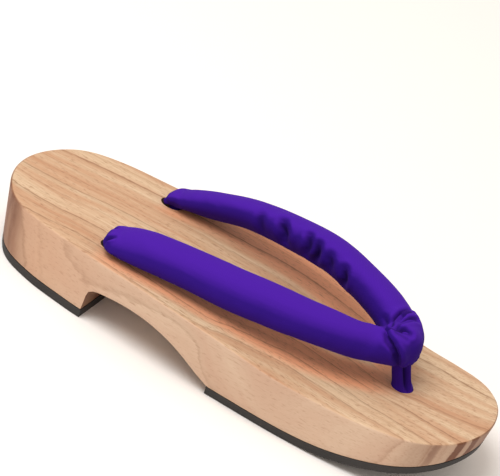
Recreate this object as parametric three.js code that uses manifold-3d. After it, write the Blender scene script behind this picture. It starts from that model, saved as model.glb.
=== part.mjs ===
// A low wooden geta sandal with a carved arch, rubber treads and a padded cloth thong.
// One shoe that fits either foot, empty, standing on its treads.
// Sizes are millimetres. +X points to the toe, +Y to the wearer's left and +Z up.
// The origin lies on the floor under the middle of the board.
import * as THREE from "three";
import { mergeVertices } from "three/addons/utils/BufferGeometryUtils.js";
import Module from "manifold-3d";

const wasm = await Module();
wasm.setup();

// Sizes of the wooden board
const boardLength = 247;
const boardEnd = boardLength / 2;
const boardHalfWidth = 51;
const topEdgeRadius = 2.4;
const topEdgeSteps = 4;
const outlineSteps = 42;

// How far the ends lean in between the top of the board and the floor
const heelLean = 6.2;
const toeLean = 1.8;

// Sizes of the rocker under the forefoot, of the arch and of the treads
const rockerStart = 45.3;
const toeSpring = 18.9;
const treadThickness = 4;
const seatGap = 0.3;
const heelFront = -57.3;
const forefootBack = 9.6;
const cutterReach = 70;
const cutterDepth = 20;

// Sizes of the holes in the board and of what goes down them
const rearHole = { topX: -59.5, footX: -49, footZ: 17.4, y: 29.3, radius: 4.8, recess: 6.6, recessTop: 22 };
const rearHoleReach = 5;
const frontHole = { x: 79.6, y: 1.5, radius: 5 };
const recess = { radius: 9.6, top: 17 };
const roundSides = 20;
const rearCord = { radius: 3.2 };
const rearKnot = { radius: 6, half: 2.4, z: 19 };
const frontKnot = { radius: 8.4, half: 3.2, z: 13.4 };

// Sizes of the padded strap and of the toe loop
const armSides = 18;
const armStep = 6.5;
const rearEnd = { reach: 7.6, drop: 2.6 };
const frontEnd = { reach: 6.8, drop: 0 };
const endSteps = 4;
const fold = { x: 70.4, y: 1.4, z: 45.6, halfX: 9.3, halfY: 9, halfZ: 9.2 };
const band = { x: 70.2, y: 1, z: 45.6, halfX: 10.7, halfZ: 10.5, width: 11, edge: 1.6, sides: 32 };
const wrapGap = 0.3;

// Half width of the board at a distance from its toe
const toeOutline = [
  { fromEnd: 0, half: 0 },
  { fromEnd: 1, half: 9.7 },
  { fromEnd: 5.5, half: 22.5 },
  { fromEnd: 11, half: 29.9 },
  { fromEnd: 17, half: 35 },
  { fromEnd: 25, half: 38.7 },
  { fromEnd: 35, half: 41.1 },
  { fromEnd: 47, half: 43 },
  { fromEnd: 71, half: 46.9 },
  { fromEnd: 95, half: 50.5 },
  { fromEnd: boardEnd, half: boardHalfWidth },
];

// Half width of the board at a distance from its heel
const heelOutline = [
  { fromEnd: 0, half: 0 },
  { fromEnd: 1, half: 9.5 },
  { fromEnd: 6.5, half: 23.7 },
  { fromEnd: 12.5, half: 31.7 },
  { fromEnd: 18.5, half: 36 },
  { fromEnd: 26, half: 39.1 },
  { fromEnd: 36.5, half: 41.9 },
  { fromEnd: 54.5, half: 44.4 },
  { fromEnd: 80, half: 47.6 },
  { fromEnd: 105, half: 50 },
  { fromEnd: boardEnd, half: boardHalfWidth },
];

// How far the side walls lean in between the top of the board and the floor
const wallLean = [
  { x: -boardEnd, lean: 1.4 },
  { x: -66, lean: 1.5 },
  { x: -43.5, lean: 3.1 },
  { x: -18.5, lean: 5.4 },
  { x: 0, lean: 6.4 },
  { x: 28.5, lean: 6.1 },
  { x: 52.5, lean: 3.5 },
  { x: 78, lean: 1.5 },
  { x: boardEnd, lean: 1.4 },
];

// Height of the footbed along the board
const footbed = [
  { x: -boardEnd, z: 30.4 },
  { x: -95, z: 31 },
  { x: -60, z: 31.5 },
  { x: -30, z: 32.2 },
  { x: 0, z: 31.5 },
  { x: 25, z: 29.4 },
  { x: 48, z: 27.2 },
  { x: 70, z: 26.4 },
  { x: 90, z: 27.8 },
  { x: 108, z: 30 },
  { x: boardEnd, z: 32 },
];

// The line of the arch from the heel block to the forefoot
const archLine = [
  { x: heelFront, z: 12 },
  { x: -56.7, z: 14.4 },
  { x: -54.8, z: 16 },
  { x: -51.6, z: 17 },
  { x: -46, z: 17.9 },
  { x: -41, z: 18.5 },
  { x: -36, z: 18.8 },
  { x: -30.5, z: 18.7 },
  { x: -25, z: 18.2 },
  { x: -19, z: 17 },
  { x: -13, z: 15.2 },
  { x: -7, z: 12.7 },
  { x: -0.7, z: 9.4 },
  { x: 5, z: 6.3 },
  { x: forefootBack, z: treadThickness + seatGap },
];

// The two arms of the strap: centre line, half of the broad and of the thin way, and lean in degrees
const rightArm = [
  { x: -56, y: -31.8, z: 37.6, broad: 10.1, thin: 5.2, lean: 10 },
  { x: -50, y: -31.8, z: 39.3, broad: 10.7, thin: 6.1, lean: 14 },
  { x: -40, y: -31.7, z: 41.2, broad: 11, thin: 7, lean: 18 },
  { x: -20, y: -29.8, z: 42.8, broad: 11.1, thin: 7.5, lean: 20 },
  { x: 0, y: -28.4, z: 44, broad: 11.2, thin: 7.8, lean: 24 },
  { x: 20, y: -25.1, z: 45.1, broad: 10.9, thin: 7.8, lean: 24 },
  { x: 40, y: -19.3, z: 45.1, broad: 10.2, thin: 7.8, lean: 18 },
  { x: 56, y: -11.8, z: 44, broad: 9.4, thin: 7.8, lean: 12 },
  { x: 64, y: -7, z: 44.2, broad: 9, thin: 8, lean: 6 },
  { x: 70, y: -3, z: 45, broad: 8.9, thin: 8.6, lean: 0 },
];
const leftArm = [
  { x: -56, y: 31.7, z: 36.3, broad: 9.6, thin: 4.2, lean: 10 },
  { x: -50, y: 31.7, z: 37.6, broad: 10.4, thin: 5.1, lean: 14 },
  { x: -40, y: 31.6, z: 40.6, broad: 11, thin: 6.4, lean: 18 },
  { x: -20, y: 30.8, z: 48, broad: 11.4, thin: 7.3, lean: 20 },
  { x: 0, y: 29.6, z: 51.4, broad: 11.6, thin: 7.9, lean: 24 },
  { x: 20, y: 27.6, z: 53.1, broad: 11.7, thin: 8.1, lean: 24 },
  { x: 40, y: 22.2, z: 50.9, broad: 11.2, thin: 8.2, lean: 18 },
  { x: 56, y: 16, z: 49, broad: 10.5, thin: 8.2, lean: 12 },
  { x: 64, y: 11.3, z: 47.1, broad: 9.8, thin: 8.4, lean: 6 },
  { x: 70, y: 5, z: 45.8, broad: 8.9, thin: 8.6, lean: 0 },
];

// The doubled cloth of the toe loop between the fold and the knot under the board
const loopPost = [
  { z: 41, x: 74.2, y: 1, halfX: 4.4, halfY: 5.2 },
  { z: 37, x: 75.4, y: 1, halfX: 4.4, halfY: 4.9 },
  { z: 33.5, x: 76.6, y: 1.2, halfX: 4.4, halfY: 4.5 },
  { z: 30, x: 78.2, y: 1.4, halfX: 4.4, halfY: 4.3 },
  { z: 27.6, x: 79.3, y: 1.5, halfX: 4.6, halfY: 4.5 },
  { z: 26, x: frontHole.x, y: frontHole.y, halfX: 4.7, halfY: 4.7 },
  { z: 13, x: frontHole.x, y: frontHole.y, halfX: 4.7, halfY: 4.7 },
];

// The cord inside each rear end, which bends down the slanted hole to its knot in the arch
const rearCordPath = [
  { z: 37, x: -56, y: 31.6 },
  { z: 34, x: -58.2, y: 30.6 },
  { z: 31.5, x: -59, y: 29.8 },
  { z: 28.5, x: -57.2, y: 29.3 },
  { z: 25, x: -54.4, y: 29.3 },
  { z: 21.5, x: -51.8, y: 29.3 },
  { z: 18.6, x: -50, y: 29.3 },
];

// A smooth curve through one column of a table that never swings past its rows
function through(rows, key, column) {
  const at = rows.map((row) => row[key]);
  const value = rows.map((row) => row[column]);
  const last = rows.length - 1;
  const rise = [];
  for (let i = 0; i < last; i++) rise.push((value[i + 1] - value[i]) / (at[i + 1] - at[i]));
  const slope = at.map((_, i) => {
    if (i === 0) return rise[0];
    if (i === last) return rise[last - 1];
    const before = rise[i - 1];
    const after = rise[i];
    return before * after > 0 ? (2 * before * after) / (before + after) : 0;
  });
  return (x) => {
    const inside = THREE.MathUtils.clamp(x, at[0], at[last]);
    let i = 0;
    while (i < last - 1 && inside > at[i + 1]) i++;
    const step = at[i + 1] - at[i];
    const t = (inside - at[i]) / step;
    const start = value[i] * (1 + 2 * t) * (1 - t) ** 2 + slope[i] * step * t * (1 - t) ** 2;
    const end = value[i + 1] * (3 - 2 * t) * t ** 2 - slope[i + 1] * step * (1 - t) * t ** 2;
    return start + end;
  };
}

// The half widths are read against the root of the distance, which keeps the ends round
function rooted(rows) {
  return through(
    rows.map((row) => ({ root: Math.sqrt(row.fromEnd), half: row.half })),
    "root",
    "half",
  );
}

const toeHalf = rooted(toeOutline);
const heelHalf = rooted(heelOutline);
const topHeight = through(footbed, "x", "z");
const sideLean = through(wallLean, "x", "lean");

function halfWidth(x) {
  return x > 0 ? toeHalf(Math.sqrt(boardEnd - x)) : heelHalf(Math.sqrt(boardEnd + x));
}

// The floor side of the treads: flat, then a rocker that lifts the toe
function underHeight(x) {
  const share = Math.max(0, (x - rockerStart) / (boardEnd - rockerStart));
  return toeSpring * share ** 2;
}

// The board's outline as seen from above, from the toe along the left side and back along the right
const outline = [];
for (let i = 0; i < 2 * outlineSteps; i++) {
  const turn = (Math.PI * i) / outlineSteps;
  const x = boardEnd * Math.cos(turn);
  const side = i <= outlineSteps ? 1 : -1;
  const atTip = i % outlineSteps === 0;
  outline.push(new THREE.Vector2(x, atTip ? 0 : side * halfWidth(x)));
}

function outlineNormal(i) {
  const before = outline[(i + outline.length - 1) % outline.length];
  const after = outline[(i + 1) % outline.length];
  const along = after.clone().sub(before).normalize();
  return new THREE.Vector2(along.y, -along.x);
}

// A ring of the wall, moved in from the outline, at a height that may change along the board
function wallRing(heightAt, inset) {
  return outline.map((point, i) => {
    const moved = point.clone().addScaledVector(outlineNormal(i), -inset);
    const atTip = i % outlineSteps === 0;
    const z = heightAt(moved.x);
    const top = topHeight(moved.x);
    const depth = (top - z) / (top - underHeight(moved.x));
    const endLean = moved.x > 0 ? toeLean : heelLean;
    const x = moved.x * (1 - (depth * endLean) / boardEnd);
    const y = atTip ? 0 : moved.y * (1 - (depth * sideLean(moved.x)) / boardHalfWidth);
    return new THREE.Vector3(x, y, z);
  });
}

// A closed body from vertices and triangles, as a solid that can be cut
function solidFrom(vertices, triangles) {
  const geometry = new THREE.BufferGeometry().setFromPoints(vertices);
  geometry.setIndex(triangles.flat());
  return solidOf(geometry);
}

function solidOf(source) {
  const geometry = source.clone();
  geometry.deleteAttribute("normal");
  geometry.deleteAttribute("uv");
  const merged = mergeVertices(geometry, 1e-4);
  const triVerts = Uint32Array.from(merged.index.array);
  const vertProperties = Float32Array.from(merged.attributes.position.array);
  const solid = new wasm.Manifold(new wasm.Mesh({ numProp: 3, vertProperties, triVerts }));
  if (solid.volume() > 0) return solid;
  for (let i = 0; i < triVerts.length; i += 3) {
    [triVerts[i + 1], triVerts[i + 2]] = [triVerts[i + 2], triVerts[i + 1]];
  }
  return new wasm.Manifold(new wasm.Mesh({ numProp: 3, vertProperties, triVerts }));
}

// Rings of the board's outline joined into a wall, with a lid across the first and the last
function solidOfRings(rings) {
  const count = outline.length;
  const vertices = rings.flat();
  const triangles = [];
  for (let r = 0; r < rings.length - 1; r++) {
    for (let i = 0; i < count; i++) {
      const next = (i + 1) % count;
      const low = r * count;
      const high = low + count;
      triangles.push([low + i, low + next, high + next]);
      triangles.push([low + i, high + next, high + i]);
    }
  }
  const top = (rings.length - 1) * count;
  for (let i = 0; i < count / 2; i++) {
    const across = (count - i) % count;
    const corners = [i, i + 1, across - 1 < 0 ? count - 1 : across - 1, across];
    for (const [a, b, c] of [
      [0, 2, 1],
      [0, 3, 2],
    ]) {
      const lid = [corners[a], corners[b], corners[c]];
      if (new Set(lid).size < 3) continue;
      triangles.push(lid);
      triangles.push([top + lid[0], top + lid[2], top + lid[1]]);
    }
  }
  return solidFrom(vertices, triangles);
}

// Rings of any closed section, ended by a point in the middle of the first and the last
function solidOfSections(sections) {
  const count = sections[0].length;
  const vertices = sections.flat();
  const middle = (ring) =>
    ring.reduce((sum, point) => sum.add(point), new THREE.Vector3()).divideScalar(ring.length);
  const start = vertices.length;
  vertices.push(middle(sections[0]));
  vertices.push(middle(sections.at(-1)));
  const lastRing = (sections.length - 1) * count;
  const triangles = [];
  for (let i = 0; i < count; i++) {
    const next = (i + 1) % count;
    for (let s = 0; s < sections.length - 1; s++) {
      const low = s * count;
      const high = low + count;
      triangles.push([low + i, low + next, high + next]);
      triangles.push([low + i, high + next, high + i]);
    }
    triangles.push([start, next, i]);
    triangles.push([start + 1, lastRing + i, lastRing + next]);
  }
  return solidFrom(vertices, triangles);
}

function uprightRound(x, y, low, high, radius) {
  const geometry = new THREE.CylinderGeometry(radius, radius, high - low, roundSides);
  geometry.rotateX(Math.PI / 2);
  geometry.translate(x, y, (low + high) / 2);
  return solidOf(geometry);
}

// A round bar between two points at one distance from the middle line
function slantedRound(from, to, y, radius) {
  const along = new THREE.Vector3(to.x - from.x, 0, to.z - from.z);
  const geometry = new THREE.CylinderGeometry(radius, radius, along.length(), roundSides);
  const axis = new THREE.Vector3(0, 1, 0);
  const turn = new THREE.Quaternion().setFromUnitVectors(axis, along.clone().normalize());
  geometry.applyQuaternion(turn);
  geometry.translate((from.x + to.x) / 2, y, (from.z + to.z) / 2);
  return solidOf(geometry);
}

// A bar that bends through level rings
function bentRod(rows) {
  const rings = rows.map((row) => {
    const ring = [];
    for (let i = 0; i < roundSides; i++) {
      const turn = (2 * Math.PI * i) / roundSides;
      const x = row.x + row.halfX * Math.cos(turn);
      const y = row.y + row.halfY * Math.sin(turn);
      ring.push(new THREE.Vector3(x, y, row.z));
    }
    return ring;
  });
  return solidOfSections(rings);
}

function roundLump(x, y, z, halfX, halfY, halfZ) {
  const geometry = new THREE.SphereGeometry(1, roundSides, roundSides / 2);
  geometry.rotateX(Math.PI / 2);
  geometry.scale(halfX, halfY, halfZ);
  geometry.translate(x, y, z);
  return solidOf(geometry);
}

// A block across the whole board that follows a side profile of x and z
function acrossBoard(profile) {
  const shape = new THREE.Shape(profile.map(({ x, z }) => new THREE.Vector2(x, z)));
  const geometry = new THREE.ExtrudeGeometry(shape, { depth: 2 * cutterReach, bevelEnabled: false });
  geometry.rotateX(Math.PI / 2);
  geometry.translate(0, cutterReach, 0);
  return solidOf(geometry);
}

// The wooden board: heel block, arch and forefoot in one carved piece
function woodenBoard() {
  const rings = [wallRing((x) => underHeight(x) + treadThickness + seatGap, 0)];
  for (let i = 0; i <= topEdgeSteps; i++) {
    const turn = (Math.PI / 2) * (i / topEdgeSteps);
    const inset = topEdgeRadius * (1 - Math.cos(turn));
    rings.push(wallRing((x) => topHeight(x) - topEdgeRadius * (1 - Math.sin(turn)), inset));
  }
  const arch = acrossBoard([
    { x: heelFront, z: -cutterDepth },
    ...archLine,
    { x: forefootBack, z: -cutterDepth },
  ]);
  const { topX, footX, footZ, y, radius } = rearHole;
  const topZ = topHeight(topX);
  const slant = (topX - footX) / (topZ - footZ);
  const above = { x: topX + slant * rearHoleReach, z: topZ + rearHoleReach };
  const below = { x: footX - slant * rearHoleReach, z: footZ - rearHoleReach };
  const overBoard = topHeight(frontHole.x) + cutterDepth;
  return solidOfRings(rings)
    .subtract(arch)
    .subtract(slantedRound(above, below, y, radius))
    .subtract(slantedRound(above, below, -y, radius))
    .subtract(uprightRound(footX, y, 0, rearHole.recessTop, rearHole.recess))
    .subtract(uprightRound(footX, -y, 0, rearHole.recessTop, rearHole.recess))
    .subtract(uprightRound(frontHole.x, frontHole.y, 0, overBoard, frontHole.radius))
    .subtract(uprightRound(frontHole.x, frontHole.y, 0, recess.top, recess.radius));
}

// A rubber tread between two stations of the sole
function tread(from, to) {
  const sheet = solidOfRings([
    wallRing(underHeight, 0),
    wallRing((x) => underHeight(x) + treadThickness, 0),
  ]);
  const stretch = acrossBoard([
    { x: from, z: -cutterDepth },
    { x: to, z: -cutterDepth },
    { x: to, z: boardEnd },
    { x: from, z: boardEnd },
  ]);
  return sheet.intersect(stretch);
}

// One oval section of an arm, its outer side lower than its inner side
function armSection(centre, along, side, row) {
  const level = new THREE.Vector3(-along.y, along.x, 0).normalize().multiplyScalar(side);
  const upward = new THREE.Vector3().crossVectors(along, level).multiplyScalar(side).normalize();
  const lean = THREE.MathUtils.degToRad(row.lean);
  const broadWay = level.clone().multiplyScalar(Math.cos(lean)).addScaledVector(upward, -Math.sin(lean));
  const thinWay = upward.clone().multiplyScalar(Math.cos(lean)).addScaledVector(level, Math.sin(lean));
  const ring = [];
  for (let i = 0; i < armSides; i++) {
    const turn = (2 * Math.PI * side * i) / armSides;
    ring.push(
      centre
        .clone()
        .addScaledVector(broadWay, row.broad * Math.cos(turn))
        .addScaledVector(thinWay, row.thin * Math.sin(turn)),
    );
  }
  return ring;
}

// One padded arm from its rounded rear end to its rounded end inside the front fold
function strapArm(rows, side, extra) {
  const columns = ["y", "z", "broad", "thin", "lean"];
  const curves = columns.map((column) => through(rows, "x", column));
  const rowAt = (x) => {
    const row = { x };
    columns.forEach((column, i) => (row[column] = curves[i](x)));
    row.broad += extra;
    row.thin += extra;
    return row;
  };
  const centreOf = (row) => new THREE.Vector3(row.x, row.y, row.z);
  const first = rows[0].x;
  const last = rows.at(-1).x;
  const count = Math.round((last - first) / armStep);
  const nearby = armStep / 10;
  const stations = [];
  for (let i = 0; i <= count; i++) {
    const x = THREE.MathUtils.lerp(first, last, i / count);
    const row = rowAt(x);
    const along = centreOf(rowAt(Math.min(last, x + nearby)))
      .sub(centreOf(rowAt(Math.max(first, x - nearby))))
      .normalize();
    stations.push({ centre: centreOf(row), along, row });
  }
  const cap = (station, way, end) => {
    const made = [];
    for (let i = 1; i <= endSteps; i++) {
      const turn = (Math.PI / 2) * (i / (endSteps + 0.4));
      const row = {
        ...station.row,
        broad: station.row.broad * Math.cos(turn),
        thin: station.row.thin * Math.cos(turn),
      };
      const centre = station.centre.clone().addScaledVector(way, (end.reach + extra) * Math.sin(turn));
      centre.z -= end.drop * (1 - Math.cos(turn));
      made.push({ centre, along: station.along, row });
    }
    return made;
  };
  const back = cap(stations[0], new THREE.Vector3(-1, 0, 0), rearEnd).reverse();
  const front = cap(stations.at(-1), stations.at(-1).along, frontEnd);
  const sections = [...back, ...stations, ...front].map(({ centre, along, row }) =>
    armSection(centre, along, side, row),
  );
  return solidOfSections(sections);
}

// Both arms joined in the front fold, grown by extra for the space that wraps it
function foldedStrap(extra) {
  return strapArm(leftArm, 1, extra)
    .add(strapArm(rightArm, -1, extra))
    .add(roundLump(fold.x, fold.y, fold.z, fold.halfX + extra, fold.halfY + extra, fold.halfZ + extra));
}

// The strap with the cords that go down through the board and their knots in the arch
function paddedStrap() {
  let strap = foldedStrap(0);
  for (const side of [1, -1]) {
    const { radius } = rearCord;
    const bends = rearCordPath.map((row) => ({ ...row, y: side * row.y, halfX: radius, halfY: radius }));
    const knotX = rearHole.footX;
    strap = strap
      .add(bentRod(bends))
      .add(roundLump(knotX, side * rearHole.y, rearKnot.z, rearKnot.radius, rearKnot.radius, rearKnot.half));
  }
  return strap;
}

// The toe loop: a band round the fold, a post to the board and a knot in the recess
function toeLoop() {
  const oval = new THREE.Shape();
  oval.absellipse(band.x, band.z, band.halfX - band.edge, band.halfZ - band.edge, 0, 2 * Math.PI);
  const around = new THREE.ExtrudeGeometry(oval, {
    depth: band.width - 2 * band.edge,
    bevelThickness: band.edge,
    bevelSize: band.edge,
    bevelSegments: 3,
    curveSegments: band.sides,
  });
  around.rotateX(Math.PI / 2);
  around.translate(0, band.y + band.width / 2 - band.edge, 0);
  const { radius, half, z } = frontKnot;
  const whole = solidOf(around)
    .add(bentRod(loopPost))
    .add(roundLump(frontHole.x, frontHole.y, z, radius, radius, half))
    .subtract(foldedStrap(wrapGap));
  return whole.decompose().reduce((most, piece) => (piece.volume() > most.volume() ? piece : most));
}

// Surface finishes
const paulownia = new THREE.MeshStandardMaterial({ color: 0xddbb97, roughness: 0.62, metalness: 0 });
const blackRubber = new THREE.MeshStandardMaterial({ color: 0x3d3c3b, roughness: 0.8, metalness: 0 });
const violetCotton = new THREE.MeshStandardMaterial({ color: 0x4a22a0, roughness: 0.9, metalness: 0 });

function meshOf(name, solid, material) {
  const { numProp, vertProperties, triVerts, numVert } = solid.getMesh();
  const positions = new Float32Array(numVert * 3);
  for (let i = 0; i < numVert; i++) {
    positions.set(vertProperties.subarray(i * numProp, i * numProp + 3), i * 3);
  }
  const geometry = new THREE.BufferGeometry();
  geometry.setAttribute("position", new THREE.BufferAttribute(positions, 3));
  geometry.setIndex(new THREE.BufferAttribute(Uint32Array.from(triVerts), 1));
  const mesh = new THREE.Mesh(geometry, material);
  mesh.name = name;
  return mesh;
}

const geta = new THREE.Group();
geta.add(meshOf("wood_base", woodenBoard(), paulownia));
geta.add(meshOf("rubber_tread_heel", tread(-boardLength, heelFront), blackRubber));
geta.add(meshOf("rubber_tread_front", tread(forefootBack, boardLength), blackRubber));
geta.add(meshOf("padded_strap", paddedStrap(), violetCotton));
geta.add(meshOf("toe_loop", toeLoop(), violetCotton));

export default geta;
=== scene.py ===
import functools
import math

import bmesh
import bpy
import numpy as np
from mathutils import Matrix, Vector
from mathutils.bvhtree import BVHTree


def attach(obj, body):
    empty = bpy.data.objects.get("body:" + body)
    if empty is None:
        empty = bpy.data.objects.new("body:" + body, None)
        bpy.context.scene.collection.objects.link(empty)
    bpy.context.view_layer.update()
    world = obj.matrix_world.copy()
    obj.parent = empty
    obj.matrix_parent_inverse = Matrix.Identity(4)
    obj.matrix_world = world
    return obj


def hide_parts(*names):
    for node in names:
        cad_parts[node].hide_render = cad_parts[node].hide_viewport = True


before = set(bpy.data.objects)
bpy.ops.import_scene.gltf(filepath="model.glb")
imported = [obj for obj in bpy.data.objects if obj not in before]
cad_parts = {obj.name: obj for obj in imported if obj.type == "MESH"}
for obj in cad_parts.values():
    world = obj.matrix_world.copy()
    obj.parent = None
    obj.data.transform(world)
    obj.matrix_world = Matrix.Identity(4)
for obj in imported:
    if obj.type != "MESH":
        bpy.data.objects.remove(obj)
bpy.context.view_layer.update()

mm = 0.001
scene = bpy.context.scene


# Small tools
def linear(hexColour):  # sRGB hex to the linear colour a shader takes
    channels = [int(hexColour[i : i + 2], 16) / 255 for i in (1, 3, 5)]
    return [c / 12.92 if c <= 0.04045 else ((c + 0.055) / 1.055) ** 2.4 for c in channels] + [1.0]


def addNode(tree, kind, inputs=None, out=0, **settings):  # adds, sets and links a node, and gives an output
    made = tree.nodes.new("ShaderNode" + kind)
    for name, value in settings.items():
        setattr(made, name, value)
    for name, value in (inputs or {}).items():
        if isinstance(value, bpy.types.NodeSocket):
            tree.links.new(value, made.inputs[name])
        else:
            made.inputs[name].default_value = value
    return made.outputs[out] if made.outputs else None


def curveThrough(rows):  # a smooth curve through (place, value) rows that never swings past them
    at = [row[0] for row in rows]
    value = [row[1] for row in rows]
    rise = [(value[i + 1] - value[i]) / (at[i + 1] - at[i]) for i in range(len(at) - 1)]
    slope = [rise[0]]
    for before, after in zip(rise, rise[1:]):
        slope.append(2 * before * after / (before + after) if before * after > 0 else 0)
    slope.append(rise[-1])

    def read(x):
        x = min(max(x, at[0]), at[-1])
        i = 0
        while i < len(at) - 2 and x > at[i + 1]:
            i += 1
        step = at[i + 1] - at[i]
        t = (x - at[i]) / step
        start = value[i] * (1 + 2 * t) * (1 - t) ** 2 + slope[i] * step * t * (1 - t) ** 2
        end = value[i + 1] * (3 - 2 * t) * t ** 2 - slope[i + 1] * step * (1 - t) * t ** 2
        return start + end

    return read


def easeBetween(low, high, x):
    t = min(max((x - low) / (high - low), 0), 1)
    return t * t * (3 - 2 * t)


def linkPiece(name, mesh, slot, *nodes):
    piece = bpy.data.objects.new(name, mesh)
    scene.collection.objects.link(piece)
    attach(piece, "root")
    if nodes:
        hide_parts(*nodes)
    return piece


def meshFrom(name, points, faces, mergeWithin=0.01):
    mesh = bpy.data.meshes.new(name)
    mesh.from_pydata([Vector(p) * mm for p in points], [], faces)
    work = bmesh.new()
    work.from_mesh(mesh)
    bmesh.ops.remove_doubles(work, verts=work.verts, dist=mergeWithin * mm)
    bmesh.ops.dissolve_degenerate(work, edges=work.edges, dist=mergeWithin * mm)
    bmesh.ops.recalc_face_normals(work, faces=work.faces)
    work.to_mesh(mesh)
    work.free()
    return mesh


def bakeModifiers(piece):  # swaps the mesh for what its modifiers make of it
    evaluated = piece.evaluated_get(bpy.context.evaluated_depsgraph_get())
    baked = bpy.data.meshes.new_from_object(evaluated)
    piece.modifiers.clear()
    old = piece.data
    piece.data = baked
    bpy.data.meshes.remove(old)


def smoothUnder(mesh, degrees):  # smooth faces, with a hard edge where two meet more sharply than this
    work = bmesh.new()
    work.from_mesh(mesh)
    for face in work.faces:
        face.smooth = True
    for edge in work.edges:
        edge.smooth = len(edge.link_faces) == 2 and edge.calc_face_angle(0) < math.radians(degrees)
    work.to_mesh(mesh)
    work.free()


def coordsOf(mesh):
    coords = np.empty(len(mesh.vertices) * 3)
    mesh.vertices.foreach_get("co", coords)
    return coords.reshape(-1, 3) / mm


def normalsOf(mesh):
    normals = np.empty(len(mesh.vertices) * 3)
    mesh.vertices.foreach_get("normal", normals)
    return normals.reshape(-1, 3)


def setCoords(mesh, coords):
    mesh.vertices.foreach_set("co", (coords * mm).ravel())
    mesh.update()


def addRelax(piece, times):
    relax = piece.modifiers.new("relax", "SMOOTH")
    relax.factor = 0.5
    relax.iterations = times


def ringFaces(ringCount, count):  # the quads between neighbouring rings of points
    faces = []
    for r in range(ringCount - 1):
        for i in range(count):
            j = (i + 1) % count
            faces.append((r * count + i, r * count + j, (r + 1) * count + j, (r + 1) * count + i))
    return faces


# Wooden board
board = {
    "length": 247,
    "halfWidth": 51,
    "topRound": 1.1,
    "underRound": 0.7,
    "heelLean": 6.2,  # how far the walls lean in from footbed to floor
    "toeLean": 1.8,
    "sideLean": [(-123.5, 1.4), (-66, 1.5), (-43.5, 3.1), (-18.5, 5.4), (0, 6.4), (28.5, 6.1), (52.5, 3.5),
                 (78, 1.5), (123.5, 1.4)],
    "toeOutline": [(0, 0), (1, 9.7), (5.5, 22.5), (11, 29.9), (17, 35), (25, 38.7), (35, 41.1),
                   (47, 43), (71, 46.9), (95, 50.5), (123.5, 51)],  # distance from the toe, half width
    "heelOutline": [(0, 0), (1, 9.5), (6.5, 23.7), (12.5, 31.7), (18.5, 36), (26, 39.1), (36.5, 41.9),
                    (54.5, 44.4), (80, 47.6), (105, 50), (123.5, 51)],
    "footbed": [(-123.5, 30.4), (-95, 31), (-60, 31.5), (-30, 32.2), (0, 31.5), (25, 29.4), (48, 27.2),
                (70, 26.4), (90, 27.8), (108, 30), (123.5, 32)],
    "heelFront": -57.3,
    "arch": [(-57.2, 12), (-56.7, 14.4), (-54.8, 16), (-51.6, 17), (-46, 17.9), (-41, 18.5),
             (-36, 18.8), (-30.5, 18.7), (-25, 18.2), (-19, 17), (-13, 15.2), (-7, 12.7),
             (-0.7, 9.4), (5, 6.3), (9, 4.5)],
    "rockerStart": 45.3,
    "toeSpring": 18.9,
    "treadThickness": 4,
    "gluedGap": 0.08,
    "stations": 150,
    "across": 26,
}
boardEnd = board["length"] / 2
toeHalf = curveThrough([(math.sqrt(d), half) for d, half in board["toeOutline"]])
heelHalf = curveThrough([(math.sqrt(d), half) for d, half in board["heelOutline"]])
footbedHeight = curveThrough(board["footbed"])
archHeight = curveThrough(board["arch"])
sideLean = curveThrough(board["sideLean"])


def halfWidth(x):
    return toeHalf(math.sqrt(boardEnd - x)) if x > 0 else heelHalf(math.sqrt(boardEnd + x))


def floorSide(x):  # the under side of the treads: flat, then a rocker that lifts the toe
    share = max(0, (x - board["rockerStart"]) / (boardEnd - board["rockerStart"]))
    return board["toeSpring"] * share ** 2


def woodUnderside(x):
    glued = floorSide(x) + board["treadThickness"] + board["gluedGap"]
    if x < board["heelFront"]:  # the last millimetre before the heel's front face is eased
        return glued + 0.6 * easeBetween(board["heelFront"] - 0.7, board["heelFront"], x)
    return max(archHeight(x), glued) if x < board["arch"][-1][0] else glued


def boardStations(start, end, extra=()):
    even = [boardEnd * math.cos(math.pi * i / board["stations"]) for i in range(board["stations"] + 1)]
    kept = [x for x in even if start < x < end and all(abs(x - e) > 0.9 for e in extra)]
    return sorted(set(kept + [e for e in extra if start < e < end] + [start, end]))


def wallPoint(x, side, inset, height):
    step = 0.02
    if boardEnd - abs(x) < 1e-6:
        moved = Vector((x - math.copysign(inset, x), 0))
    else:
        ahead = min(x + step, boardEnd)
        behind = max(x - step, -boardEnd)
        along = Vector((ahead - behind, halfWidth(ahead) - halfWidth(behind))).normalized()
        moved = Vector((x, halfWidth(x))) - Vector((-along.y, along.x)) * inset
        moved.y = max(moved.y, 0)
    z = height(moved.x)
    top = footbedHeight(moved.x)
    depth = (top - z) / (top - floorSide(moved.x))
    lean = (board["toeLean"] if x > 0 else board["heelLean"]) * easeBetween(60, 100, abs(x))
    return (
        moved.x * (1 - depth * lean / boardEnd),
        side * moved.y * (1 - depth * sideLean(moved.x) / board["halfWidth"]),
        z,
    )


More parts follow.
